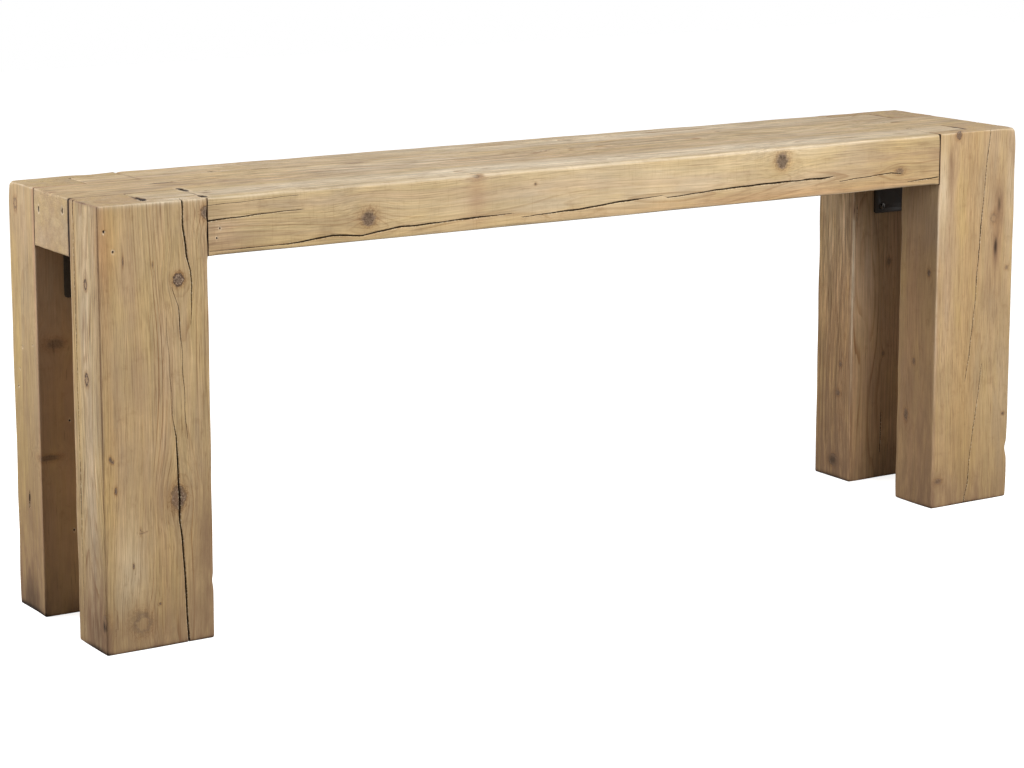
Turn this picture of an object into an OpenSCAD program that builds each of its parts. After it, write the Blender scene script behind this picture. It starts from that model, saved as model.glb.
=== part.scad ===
// Console table built from seven heavy timbers: a top of three beams laid side by
// side and four broad legs. The outer beams end in tongues that lie in open pockets
// in the leg tops; steel angles on the legs carry the middle beam.
// Millimetres, +Z up. Origin on the floor under the middle of the table; +X runs
// along the length and the front faces -Y.

/* [Table] */
// Overall length, end to end
table_l = 2000; // [1400:10:2800]
// Overall depth, front to back
table_d = 375; // [312:1:460]
// Height of the top above the floor
table_h = 760; // [600:5:950]

/* [Timbers] */
// Height of the three beams that make the top
beam_h = 100; // [80:1:140]
// Thickness, front to back, of the legs and of the two outer beams
outer_t = 114; // [94:1:138]
// Width of each leg along the table
leg_w = 200; // [150:1:260]
// Radius of the worn long edges
arris_r = 4; // [1:0.5:8]
// Gap between neighbouring timbers
joint_gap = 0.3; // [0.1:0.1:0.8]

/* [Tongue joints] */
// Length of the tongue at each end of an outer beam
tongue_l = 98; // [70:1:130]
// Gap between the end of a tongue and the end of its pocket
tongue_end_gap = 2; // [0.5:0.5:5]
// Thickness of leg left outside the tongue
shell_t = 36; // [28:1:50]
// Diameter of the two long screws through each tongue
tongue_screw_d = 8; // [6:0.5:10]
// Diameter of their heads
tongue_head_d = 16; // [12:0.5:18]
// Height of their heads
tongue_head_h = 5; // [3:0.5:6]
// Depth below the tongue's face at which the heads seat
tongue_seat = 8; // [7:0.5:12]
// Distance between the two screws, along the beam
tongue_screw_pitch = 50; // [30:1:56]
// How far they reach into the leg beyond the tongue
tongue_bite = 24; // [15:1:26]

/* [Dowels] */
// Diameter of the dowels between the beams
dowel_d = 20; // [12:1:30]
// Length of each dowel
dowel_l = 70; // [40:1:78]
// Dowels along each joint
dowel_count = 5; // [3:1:9]
// Distance from the legs to the first and last dowel
dowel_inset = 120; // [60:5:250]

/* [Angle brackets] */
// Width of each bracket along the table
bracket_w = 96; // [70:1:140]
// Height of the flange that lies on the leg
leg_flange = 95; // [60:1:130]
// Thickness of the steel
bracket_t = 5; // [3:0.5:8]
// Radius of the free corners
bracket_corner_r = 5; // [2:1:12]
// Gap between a front and a rear bracket, under the middle beam
bracket_gap = 26; // [10:1:40]

/* [Bracket screws] */
// Shank diameter
screw_d = 6; // [4:0.5:8]
// Length below the head
screw_l = 48; // [30:1:70]
// Head diameter
head_d = 12; // [9:0.5:15]
// Head height
head_h = 3.4; // [2.4:0.2:5]
// Distance from the bracket's side edge to a screw
screw_side = 18; // [12:1:28]
// Distance from the flange's free edge to a screw
screw_end = 14; // [10:1:25]
// Width of the cross recess in the head
recess_w = 1.6; // [1:0.1:2]
// Length of each arm of the recess
recess_l = 3; // [2:0.1:3.6]
// Depth of the recess
recess_depth = 1.8; // [1:0.1:2.2]

/* [Clearances] */
// Wider than the shank, for a screw or dowel in wood
bore_clear = 0.2; // [0.1:0.1:0.6]
// Wider than the shank, for a screw through steel or through a tongue
hole_clear = 1; // [0.4:0.1:1.4]
// Deeper than the screw or dowel, at the blind end of a bore
bore_end = 2; // [1:0.5:4]

/* [Hidden] */
$fn = 48;

pine = [0.76, 0.66, 0.51];
pine_dark = [0.70, 0.58, 0.44];
black_steel = [0.19, 0.16, 0.14];
zinc = [0.55, 0.54, 0.52];
beech = [0.80, 0.66, 0.48];

half_l = table_l / 2;
half_d = table_d / 2;
inner_y = half_d - outer_t;          // inner face of the legs and of the outer beams
middle_t = 2 * (inner_y - joint_gap);
under_z = table_h - beam_h;          // underside of the beams, floor of the pockets
beam_mid_z = table_h - beam_h / 2;
leg_x = half_l - leg_w;              // face of the legs that looks along the table
leg_mid_x = half_l - leg_w / 2;
pocket_l = tongue_l + joint_gap + tongue_end_gap;
pocket_t = outer_t - shell_t;
tongue_x = leg_x + tongue_l;         // end of a tongue
shoulder_x = leg_x - joint_gap;      // shoulder of a tongue
tongue_mid_x = (leg_x + tongue_x) / 2;
tongue_screw_l = pocket_t - tongue_seat + tongue_bite;
beam_flange = inner_y - bracket_gap / 2;
screw_x = bracket_w / 2 - screw_side;
leg_screw_z = under_z - leg_flange + screw_end;
beam_screw_y = bracket_gap / 2 + screw_end;
dowel_span = 2 * (leg_x - dowel_inset);
dowel_y = inner_y - joint_gap / 2;   // joint between the middle and an outer beam
tip_l = screw_d;                     // pointed end of a screw
over = 1;                            // how far a cut runs past the face it opens

// Rectangle with rounded corners, centred on the origin.
module rounded_rect(w, h, r) {
    square([w - 2 * r, h], center = true);
    square([w, h - 2 * r], center = true);
    for (x = [-1, 1], y = [-1, 1])
        translate([x * (w / 2 - r), y * (h / 2 - r)]) circle(r);
}

// Beam of the given length and thickness along X, centred on the origin.
module beam_blank(l, t) {
    rotate([90, 0, 90]) translate([0, 0, -l / 2])
        linear_extrude(l) rounded_rect(t, beam_h, arris_r);
}

// Copies what is drawn at the right rear onto one of the four corners.
module at_corner(x, y) {
    mirror([x < 0 ? 1 : 0, 0, 0]) mirror([0, y < 0 ? 1 : 0, 0]) children();
}

// Row of dowel-like cylinders along X, across the joint at the rear of the middle beam.
module dowel_row(d, l) {
    for (i = [0:dowel_count - 1])
        translate([dowel_span * (i / (dowel_count - 1) - 0.5), dowel_y - l / 2, beam_mid_z])
            rotate([-90, 0, 0]) cylinder(h = l, d = d);
}

module dowel_bores() {
    dowel_row(dowel_d + bore_clear, dowel_l + 2 * bore_end);
}

// Two bores for the long screws of one tongue, with seats for the heads.
module tongue_screw_bores(d) {
    for (x = [-1, 1])
        translate([tongue_mid_x + x * tongue_screw_pitch / 2, inner_y, beam_mid_z])
            rotate([-90, 0, 0]) {
                translate([0, 0, -over])
                    cylinder(h = tongue_seat + over, d = tongue_head_d + hole_clear);
                cylinder(h = tongue_seat + tongue_screw_l + bore_end, d = d);
            }
}

// The outer beam at the rear: full section between the legs, with a tongue at each
// end that keeps the inner part of the section.
module outer_beam() {
    difference() {
        translate([0, half_d - outer_t / 2, beam_mid_z])
            beam_blank(2 * tongue_x, outer_t);
        for (x = [-1, 1]) at_corner(x, 1) {
            translate([shoulder_x, half_d - shell_t - joint_gap, under_z - over])
                cube([tongue_l + joint_gap + over, shell_t + joint_gap + over, beam_h + 2 * over]);
            tongue_screw_bores(tongue_screw_d + hole_clear);
        }
        dowel_bores();
    }
}

module front_beam() {
    color(pine) mirror([0, 1, 0]) outer_beam();
}

module rear_beam() {
    color(pine) outer_beam();
}

module middle_beam() {
    color(pine_dark) difference() {
        translate([0, 0, beam_mid_z]) beam_blank(table_l, middle_t);
        for (y = [-1, 1]) at_corner(1, y) dowel_bores();
        for (x = [-1, 1], y = [-1, 1]) at_corner(x, y) beam_screw_bores();
    }
}

// The leg at the right rear, with its pocket for the tongue of the outer beam.
module leg() {
    color(pine) difference() {
        translate([leg_mid_x, half_d - outer_t / 2, 0])
            linear_extrude(table_h) rounded_rect(leg_w, outer_t, arris_r);
        translate([leg_x - over, inner_y - over, under_z])
            cube([pocket_l - joint_gap + over, pocket_t + over, beam_h + over]);
        tongue_screw_bores(tongue_screw_d + bore_clear);
        leg_screw_bores();
    }
}

// Plate of the given width and length, lying on Z = 0, centred in X and running
// from Y = 0 to a free edge with rounded corners, with two screw holes.
module flange(l) {
    linear_extrude(bracket_t) difference() {
        union() {
            translate([-bracket_w / 2, 0]) square([bracket_w, l - bracket_corner_r]);
            translate([0, l / 2]) rounded_rect(bracket_w, l, bracket_corner_r);
        }
        for (x = [-1, 1])
            translate([x * screw_x, l - screw_end]) circle(d = screw_d + hole_clear);
    }
}

// Steel angle at the right rear: one flange on the leg, one under the middle beam.
module bracket() {
    color(black_steel) translate([leg_mid_x, inner_y, under_z]) {
        translate([0, 0, -bracket_t]) rotate([0, 0, 180]) flange(beam_flange);
        rotate([-90, 0, 0]) translate([0, 0, -bracket_t]) flange(leg_flange);
    }
}

// Pan-head screw along -Z: the head stands on Z = 0 and the shank hangs below.
module screw(d, l, hd, hh) {
    dome_r = (hd * hd / 4 + hh * hh) / hh;
    difference() {
        union() {
            rotate_extrude() intersection() {
                translate([0, hh - dome_r]) circle(dome_r);
                square([hd / 2, hh]);
            }
            translate([0, 0, tip_l - l]) cylinder(h = l - tip_l, d = d);
            translate([0, 0, -l]) cylinder(h = tip_l, d1 = d / 4, d2 = d);
        }
        for (a = [0, 90]) rotate([0, 0, a])
            translate([-recess_l, -recess_w / 2, hh - recess_depth])
                cube([2 * recess_l, recess_w, recess_depth + over]);
    }
}

module screw_bore() {
    translate([0, 0, -screw_l - bore_end])
        cylinder(h = screw_l + bore_end, d = screw_d + bore_clear);
}

// Puts its child at the two screw holes of the flange on the leg.
module at_leg_screws() {
    for (x = [-1, 1])
        translate([leg_mid_x + x * screw_x, inner_y - bracket_t, leg_screw_z])
            rotate([90, 0, 0]) children();
}

// Puts its child at the two screw holes of the flange under the middle beam.
module at_beam_screws() {
    for (x = [-1, 1])
        translate([leg_mid_x + x * screw_x, beam_screw_y, under_z - bracket_t])
            rotate([180, 0, 0]) children();
}

module leg_screw_bores() {
    at_leg_screws() screw_bore();
}

module beam_screw_bores() {
    at_beam_screws() screw_bore();
}

module leg_screws() {
    color(zinc) at_leg_screws() screw(screw_d, screw_l, head_d, head_h);
}

module beam_screws() {
    color(zinc) at_beam_screws() screw(screw_d, screw_l, head_d, head_h);
}

// The long screws that hold one tongue to its leg, hidden behind the middle beam.
module tongue_screws() {
    color(zinc) for (x = [-1, 1])
        translate([tongue_mid_x + x * tongue_screw_pitch / 2, inner_y + tongue_seat, beam_mid_z])
            rotate([90, 0, 0])
                screw(tongue_screw_d, tongue_screw_l, tongue_head_d, tongue_head_h);
}

module dowels() {
    color(beech) dowel_row(dowel_d, dowel_l);
}

front_beam();
middle_beam();
rear_beam();
at_corner(-1, -1) leg();  // leg_front_left
at_corner(1, -1) leg();  // leg_front_right
at_corner(-1, 1) leg();  // leg_rear_left
at_corner(1, 1) leg();  // leg_rear_right
at_corner(-1, -1) bracket();  // bracket_front_left
at_corner(1, -1) bracket();  // bracket_front_right
at_corner(-1, 1) bracket();  // bracket_rear_left
at_corner(1, 1) bracket();  // bracket_rear_right
at_corner(-1, -1) leg_screws();  // leg_screws_front_left
at_corner(1, -1) leg_screws();  // leg_screws_front_right
at_corner(-1, 1) leg_screws();  // leg_screws_rear_left
at_corner(1, 1) leg_screws();  // leg_screws_rear_right
at_corner(-1, -1) beam_screws();  // beam_screws_front_left
at_corner(1, -1) beam_screws();  // beam_screws_front_right
at_corner(-1, 1) beam_screws();  // beam_screws_rear_left
at_corner(1, 1) beam_screws();  // beam_screws_rear_right
at_corner(-1, -1) tongue_screws();  // tongue_screws_front_left
at_corner(1, -1) tongue_screws();  // tongue_screws_front_right
at_corner(-1, 1) tongue_screws();  // tongue_screws_rear_left
at_corner(1, 1) tongue_screws();  // tongue_screws_rear_right
mirror([0, 1, 0]) dowels();  // dowels_front
dowels();  // dowels_rear
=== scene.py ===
import bmesh
import bpy
import numpy as np
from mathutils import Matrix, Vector


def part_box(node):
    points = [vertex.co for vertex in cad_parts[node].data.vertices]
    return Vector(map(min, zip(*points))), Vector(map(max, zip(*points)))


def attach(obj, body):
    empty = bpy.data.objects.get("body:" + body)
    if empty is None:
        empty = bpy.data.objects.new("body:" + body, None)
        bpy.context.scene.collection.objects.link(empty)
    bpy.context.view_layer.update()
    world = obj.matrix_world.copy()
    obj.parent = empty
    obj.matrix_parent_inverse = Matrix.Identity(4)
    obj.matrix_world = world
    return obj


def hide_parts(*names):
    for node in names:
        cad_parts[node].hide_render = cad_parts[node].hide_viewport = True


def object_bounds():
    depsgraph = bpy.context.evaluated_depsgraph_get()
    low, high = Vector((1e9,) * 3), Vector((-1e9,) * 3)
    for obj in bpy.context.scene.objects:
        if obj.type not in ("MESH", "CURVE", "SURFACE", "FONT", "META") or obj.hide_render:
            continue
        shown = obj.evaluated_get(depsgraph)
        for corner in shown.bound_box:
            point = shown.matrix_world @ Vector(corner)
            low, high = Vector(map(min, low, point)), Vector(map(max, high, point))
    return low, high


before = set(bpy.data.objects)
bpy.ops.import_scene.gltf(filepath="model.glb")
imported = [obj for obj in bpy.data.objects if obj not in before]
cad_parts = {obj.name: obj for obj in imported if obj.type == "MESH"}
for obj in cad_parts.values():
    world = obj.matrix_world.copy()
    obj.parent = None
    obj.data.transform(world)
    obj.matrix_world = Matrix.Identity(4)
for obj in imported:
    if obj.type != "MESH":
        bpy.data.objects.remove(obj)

cad_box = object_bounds()

# ---------------------------------------------------------------- camera, floor and light
# The table stands on a plain white floor in a white room. A large soft lamp in front on the right
# and a second one on the left light it, and the room gives an even light from all round.
scene = bpy.context.scene
scene.view_settings.view_transform = "Standard"

camera = bpy.data.objects.new("camera", bpy.data.cameras.new("camera"))
camera.location = (-2.829, -4.33, 1.433)
camera.rotation_euler = np.radians((80.34, 0, -32.41))
camera.data.lens = 97.9
camera.data.shift_y = -0.12
scene.collection.objects.link(camera)
scene.camera = camera


class Finish:
    """A material made as a chain of shader steps: each method adds one step and returns its result."""

    def __init__(self, name, kind="material"):
        self.owner = bpy.data.worlds.new(name) if kind == "world" else bpy.data.materials.new(name)
        self.owner.use_nodes = True
        self.tree = self.owner.node_tree
        self.surface = self.tree.nodes.get("Principled BSDF") or self.tree.nodes.get("Background")

    def join(self, value, socket):
        """Sets a socket to a number or colour, or links another step's result to it."""
        if isinstance(value, bpy.types.NodeSocket):
            self.tree.links.new(value, socket)
        else:
            socket.default_value = value

    def give(self, socket, value):
        """Sets one of the surface shader's own sockets."""
        self.join(value, self.surface.inputs[socket])

    def step(self, kind, inputs, output=0, **settings):
        """Adds one shader step of that kind and returns the output that is named or numbered."""
        node = self.tree.nodes.new("ShaderNode" + kind)
        for setting, value in settings.items():
            setattr(node, setting, value)
        for socket, value in inputs.items():
            self.join(value, node.inputs[socket])
        return node.outputs[output]

    def math(self, operation, first, second=0.0, third=0.0):
        return self.step("Math", {0: first, 1: second, 2: third}, operation=operation)

    def times(self, first, second):
        return self.math("MULTIPLY", first, second)

    def ease(self, value, start, end, low=0.0, high=1.0):
        """Runs smoothly from low to high as the value goes from start to end."""
        inputs = {0: value, 1: start, 2: end, 3: low, 4: high}
        return self.step("MapRange", inputs, interpolation_type="SMOOTHSTEP")

    def mix(self, share, first, second, blend="MIX"):
        inputs = {0: share, 6: first, 7: second}
        return self.step("Mix", inputs, 2, data_type="RGBA", blend_type=blend)

    def cloud(self, place, scale, shift=0.0, detail=2.0, rough=0.5):
        """Soft noise from 0 to 1 with its own scale along each axis."""
        spread = self.step("VectorMath", {0: place, 1: scale, 2: (shift, shift * 0.7, shift * 1.3)},
                           operation="MULTIPLY_ADD")
        inputs = {"Vector": spread, "Scale": 1.0, "Detail": detail, "Roughness": rough}
        return self.step("TexNoise", inputs)


room = Finish("white_room", "world")
seen = room.step("LightPath", {}, "Is Camera Ray")
for ray in ("Is Glossy Ray", "Is Transmission Ray"):
    seen = room.math("MAXIMUM", seen, room.step("LightPath", {}, ray))
room.give("Color", (1, 1, 1, 1))
room.give("Strength", room.ease(seen, 0, 1, 0.28, 1.0))
scene.world = room.owner

floor_mesh = bpy.data.meshes.new("floor")
floor_mesh.from_pydata([(-9, -9, 0), (9, -9, 0), (9, 9, 0), (-9, 9, 0)], [], [(0, 1, 2, 3)])
floor = bpy.data.objects.new("floor", floor_mesh)
floor_white = Finish("floor_white")
seen = floor_white.step("LightPath", {}, "Is Camera Ray")
shade = floor_white.mix(seen, (0.16, 0.15, 0.14, 1), (0.9, 0.9, 0.9, 1))
floor_white.give("Base Color", shade)
floor_white.give("Roughness", 0.9)
floor_white.give("Emission Color", (1, 1, 1, 1))
floor_white.give("Emission Strength", floor_white.times(seen, 0.8))
floor_mesh.materials.append(floor_white.owner)
scene.collection.objects.link(floor)

for name, place, target, size, power in (
    ("lamp_front", (0.5, -2.8, 2.25), (0.2, 0, 0.5), 2.2, 117),
    ("lamp_left", (-2.7, 1.15, 1.45), (-0.3, 0, 0.45), 1.3, 56),
):
    light = bpy.data.lights.new(name, "AREA")
    light.size = size
    light.energy = power
    lamp = bpy.data.objects.new(name, light)
    lamp.location = place
    lamp.rotation_euler = (Vector(target) - Vector(place)).to_track_quat("-Z", "Y").to_euler()
    scene.collection.objects.link(lamp)

# ---------------------------------------------------------------- front beam
# An old pine beam, 114 by 100 mm, planed and brushed, with open drying checks. Its two ends are cut
# back at the front to a tongue that lies in the open pocket of each front leg, screwed and glued.
SIDES = {"left": (0, 0), "right": (0, 1), "front": (1, 0), "rear": (1, 1), "under": (2, 0), "top": (2, 1)}
table_corner = np.array(cad_box[0]) * 1000


def box_mm(node):
    """A node's lowest and highest corners, in mm from the table's corner."""
    return np.array(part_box(node)) * 1000 - table_corner


(_, front, under), (_, inner, top) = box_mm("front_beam").round(3)
length, rear_inner = box_mm("middle_beam").round(3)[1, 0], box_mm("rear_beam").round(3)[0, 1]
leg_left, leg_right = box_mm("leg_front_left").round(3)[1, 0], box_mm("leg_front_right").round(3)[0, 0]
# Each tongue lies 100 mm into its leg, which keeps a cheek 36 mm thick outside it.
tongue, cheek, thick = 100, 36, inner - front
joint_faces = [((0, y, under), (length, y, top)) for y in (inner, rear_inner)]
joint_faces += [((x, y, under), (x, y + thick, top)) for x in (leg_left, leg_right)
                for y in (front, rear_inner)]
joint_faces += [((x, y, under), (x + tongue, y, top)) for x in (leg_left - tongue, leg_right)
                for y in (front + cheek, rear_inner + thick - cheek)]
joint_faces += [((x, y, under), (x, y + thick - cheek, top))
                for x in (leg_left - tongue, leg_right + tongue) for y in (front + cheek, rear_inner)]


def waves(place, length, seed, count=7):
    """A smooth uneven field from about -1 to 1: sine waves of random slant and phase, each about
    `length` mm long, added up and divided by the root of twice their number."""
    chance = np.random.default_rng(seed)
    slant = chance.normal(0, 1, (count, 3))
    slant *= chance.uniform(0.6, 1.4, (count, 1)) / np.linalg.norm(slant, axis=1, keepdims=True)
    phase = chance.uniform(0, 2 * np.pi, count)
    return np.sin(place / length @ slant.T * 2 * np.pi + phase).sum(1) / np.sqrt(2 * count)


def rise(value, start, end):
    """Runs smoothly from 0 to 1 as the value goes from start to end: 3 t squared less 2 t cubed."""
    share = np.clip((value - start) / (end - start), 0, 1)
    return share * share * (3 - 2 * share)


def rows(low, high, step, exact, close):
    """Where the rows of points lie from low to high: the exact places first, then the close ones beside
    arrises and checks, then one at each step that has room."""
    arris = np.array([0.5, 1.2, 2.2, 3.6, 5.5, 8.0])
    places = [low, high, *exact]
    for room, wanted in ((0.38, [*(low + arris), *(high - arris), *close]),
                         (0.6 * step, np.arange(low, high, step))):
        for place in wanted:
            if low < place < high and np.abs(np.array(places) - place).min() > room:
                places.append(place)
    return np.sort(places)


def skin(cells):
    """The faces between full and empty cells of a block, as numbered corners that turn outward, and
    the row numbers of each corner that is used."""
    padded = np.pad(cells.astype(int), 1)
    faces = []
    for axis in range(3):
        turn, lift = np.eye(3, dtype=int)[[(axis + 1) % 3, (axis + 2) % 3]]
        inner = tuple(slice(None) if a == axis else slice(1, -1) for a in range(3))
        wall = np.diff(padded, axis=axis)[inner]
        for outward, order in ((-1, [0, 1, 2, 3]), (1, [3, 2, 1, 0])):
            corner = np.argwhere(wall == outward)
            four = np.stack([corner, corner + turn, corner + turn + lift, corner + lift], 1)
            faces.append(four[:, order])
    faces = np.concatenate(faces)
    size = np.array(cells.shape) + 1
    used, numbered = np.unique(np.ravel_multi_index(faces.reshape(-1, 3).T, size), return_inverse=True)
    return np.stack(np.unravel_index(used, size), 1), numbered.reshape(-1, 4)


def make_piece(name, points, faces, values):
    """Puts points in mm and numbered faces into a mesh, with one value or three for each point."""
    mesh = bpy.data.meshes.new(name)
    mesh.from_pydata((points + table_corner) / 1000, [], faces)
    mesh.polygons.foreach_set("use_smooth", np.ones(len(faces), bool))
    for value_name, value in values.items():
        flat = value.ndim == 1
        layer = mesh.attributes.new(value_name, "FLOAT" if flat else "FLOAT_VECTOR", "POINT")
        layer.data.foreach_set("value" if flat else "vector", value.astype(np.float32).ravel())
    piece = bpy.data.objects.new(name, mesh)
    scene.collection.objects.link(piece)
    return piece


FAR_OFF = 9.0


def place_checks(checks):
    """That lies at the mean of its path, and at least 10 mm past the row before it."""
    cracks = {}
    for side, path, depth in checks:
        path = np.array(path, float)
        same = cracks.setdefault(SIDES[side], [])
        before = [row + 10 for _, _, row in same]
        same.append((path, depth, max([path[path[:, 2] > 0, 1].mean()] + before)))
    return cracks


def point_rows(low, high, step, grain, cuts, cracks, pits, knots):
    """The rows of points along each axis, close together beside cuts, checks, pits and big knots."""
    exact = [sorted({float(end[axis]) for cut in cuts for end in cut
                     if low[axis] < end[axis] < high[axis]}) for axis in range(3)]
    offsets = [side * offset for side in (-1, 1) for offset in (0.5, 1.2, 2.4)]
    close = [[place + offset for place in exact[axis] for offset in offsets] for axis in range(3)]
    for (face, end), same in cracks.items():
        for _, _, row in same:
            close[3 - grain - face] += [row + offset for offset in
                                        (-3.2, -1.9, -1.1, -0.5, 0, 0.5, 1.1, 1.9, 3.2)]
    for point, size in pits:
        for axis in range(3):
            if low[axis] < point[axis] < high[axis]:
                half = np.broadcast_to(size, 3)[axis]
                close[axis] += [point[axis] + share * half for share in (-1, -0.5, 0, 0.5, 1)]
    for side, where, sideways, size_across, size_along, dark in knots:
        if size_across > 9:
            close[grain] += list(np.arange(where - size_along, where + size_along, 2.4))
    return [rows(low[axis], high[axis], step[axis], exact[axis], close[axis]) for axis in range(3)]


def cut_block(low, high, lines, cuts):
    """The skin of a block of cells less its cuts: the points, the faces, and the low and high corner of
    the part of the block, such as a tongue, that each point belongs to."""
    middles = np.stack(np.meshgrid(*[(line[1:] + line[:-1]) / 2 for line in lines], indexing="ij"), -1)
    cells = np.ones(middles.shape[:3], bool)
    for cut_low, cut_high in cuts:
        cells &= ~((middles > cut_low) & (middles < cut_high)).all(-1)
    number, faces = skin(cells)
    place = np.stack([lines[axis][number[:, axis]] for axis in range(3)], 1)

    lows, highs = np.tile(low, (len(place), 1)), np.tile(high, (len(place), 1))
    for cut_low, cut_high in cuts:
        inside = (place > cut_low + 0.01) & (place < cut_high - 0.01)
        for axis in range(3):
            beside = inside[:, (axis + 1) % 3] & inside[:, (axis + 2) % 3]
            highs[beside & (place[:, axis] < cut_low[axis] + 0.01), axis] = cut_low[axis]
            lows[beside & (place[:, axis] > cut_high[axis] - 0.01), axis] = cut_high[axis]
    return place, faces, lows, highs


def open_checks(place, low, high, grain, cracks, seed):
    """Draws the rows of points sideways onto the checks, first on the low faces and then on the high ones:
    those within the margin of an arris stay, and a strip beside each check goes along with it. Gives the
    depth of the V at each point, and its distance from the nearest check with that check's half width
    and the share of its dark fill, which is dirt and painted shade."""
    along = place[:, grain]
    margin, strip = 5, 2.5
    groove = np.zeros(len(place))
    rift = np.zeros((len(place), 3))
    rift[:, 0] = FAR_OFF
    for face, end in sorted(cracks, key=lambda side: (side[1], -side[0])):
        across = 3 - grain - face
        same = cracks[face, end]
        depth = np.abs(place[:, face] - (low, high)[end][face])
        hold = 1 - rise(depth, 4, 34)
        straight = place[:, across].copy()
        starts, targets = [low[across] + margin], [np.full(len(place), low[across] + margin)]
        for path, _, row in same:
            line = np.interp(along, path[:, 0], path[:, 1])
            line += 0.9 * waves(place * np.eye(3)[grain], 55, seed + 31)
            line = np.clip(line, targets[-1] + 3.3, high[across] - 8)
            starts += [row - strip, row + strip]
            targets += [line - strip, line + strip]
        starts.append(high[across] - margin)
        targets.append(np.full(len(place), high[across] - margin))
        for k in range(len(starts) - 1):
            here = (straight >= starts[k]) & (straight <= starts[k + 1])
            share = (straight - starts[k]) / max(starts[k + 1] - starts[k], 1e-6)
            moved = targets[k] + share * (targets[k + 1] - targets[k])
            place[here, across] += (hold * (moved - straight))[here]
        for path, deepest, row in same:
            width = np.interp(along, path[:, 0], path[:, 2], left=0, right=0)
            width *= 1 + 0.2 * waves(place, 38, seed + 33)
            off = np.abs(straight - row)
            taper = 1 - rise(depth, 6, 24)
            open_part = np.clip(1 - (off / np.maximum(width, 0.3)) ** 1.5, 0, 1) * (width > 0.12)
            groove = np.maximum(groove, open_part * taper * np.minimum(deepest, 4.5 * width))
            nearer = (off < rift[:, 0]) & (taper > 0) & (off < 7) & (width > 0.08)
            mask = np.clip((6 - off) / 3, 0, 1) * taper
            rift[nearer] = np.stack([off, width, mask], 1)[nearer]
    return groove, rift


def grow(place, pressed, low, high, grain, pith, lean, wander, ring, knots, seed):
    """The growth at each point: its place in the fibre, its age in year rings, and its place in the
    nearest knot. The age is the distance from the wandering pith over the ring width. A knot is a cone
    from the pith to its spot on the skin, and the fibres and rings near it are drawn towards its axis."""
    section = [axis for axis in range(3) if axis != grain]
    along = place[:, grain]
    middle = (low + high)[grain] / 2
    sway = 2 * np.pi / 900

    def heart(where):
        """The pith's place across the timber: its own offset, a lean and a slow sway."""
        where = np.asarray(where, float)
        away = (where - middle) / 1000
        return np.stack([pith[0] + lean[0] * away + wander * np.sin(sway * where + seed),
                         pith[1] + lean[1] * away + wander * np.sin(1.3 * sway * where + 2 * seed)], -1)

    spot = place[:, section] - heart(along)
    knot_value = np.zeros((len(place), 3))
    nearest = np.full(len(place), FAR_OFF)
    swell = np.zeros(len(place))
    for side, where, sideways, size_across, size_along, dark in knots:
        face, end = SIDES[side]
        point = np.zeros(3)
        point[face], point[3 - grain - face] = (low, high)[end][face], sideways
        centre = heart(where)
        branch = point[section] - centre
        length = np.linalg.norm(branch)
        branch /= length
        sidestep = np.array([-branch[1], branch[0]])
        depth = (place[:, section] - centre) @ branch / length
        taper = np.clip(depth, 0.3, 1.15)
        offset = (place[:, section] - point[section]) @ sidestep
        u, v = offset / (size_across * taper), (along - where) / (size_along * taper)
        near = rise(depth, 0.2, 0.6) * (1 - rise(depth, 1.7, 2.1))
        bend = np.exp(-(u / 2.1) ** 2 - (v / 3.2) ** 2) * near * min(1, abs(dark) + 0.3)
        spot -= sidestep * (offset * 0.85 * bend)[:, None]
        swell += np.exp(-(u / 1.7) ** 2 - (v / 2.2) ** 2) * near * size_across / 7
        distance = np.hypot(u, v) + FAR_OFF * (1 - near)
        closer = distance < nearest
        nearest[closer] = distance[closer]
        value = np.stack([u, v, dark * np.clip((3.2 - distance) / 0.8, 0, 1)], 1)
        knot_value[closer] = value[closer]
    spread = np.linalg.norm(spot, axis=1)
    uneven = 0.45 * waves(pressed, 42, seed + 5)
    years = spread / ring + uneven + 1.2 * np.sin(spread / 19 + seed) - swell
    return np.column_stack([spot, along]), years, knot_value


def joint_wear(place):
    """How near the joints each point lies: beside a joint face the arris is left sharp, with a radius that
    grows with the distance from it, and dirt has gathered as a bell curve of that distance."""
    from_middle = np.abs(place[:, 0] - length / 2)
    between_legs, at_end = from_middle < length / 2 - leg_left - 5, from_middle > length / 2 - 6
    sharpest, dirt = np.full(len(place), np.inf), np.zeros(len(place))
    for face_low, face_high in joint_faces:
        away = np.linalg.norm(np.maximum(np.maximum(face_low - place, place - face_high), 0), axis=1)
        at_rear = face_low[1] > (inner + rear_inner) / 2
        tight = between_legs, at_rear, at_end
        sharpest = np.minimum(sharpest, np.select(tight, [0.5, 1.3, 2.7], 1.1) + 0.35 * away)
        dirty = between_legs, place[:, 0] > leg_right - 100, at_rear
        strength = np.select(dirty, [0.35, 0.75, 0.85], 1.1)
        width = np.select(tight, [1.3, 1.6, 2.4], 1.2)
        dirt = np.maximum(dirt, strength * np.exp(-(away / width) ** 2))
    return sharpest, dirt


def bell(place, centre, spread_mm):
    """1 at the centre, and less all round it by a bell curve with its own spread along each axis."""
    return np.exp(-(((place - centre) / np.array(spread_mm)) ** 2).sum(1))


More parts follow.
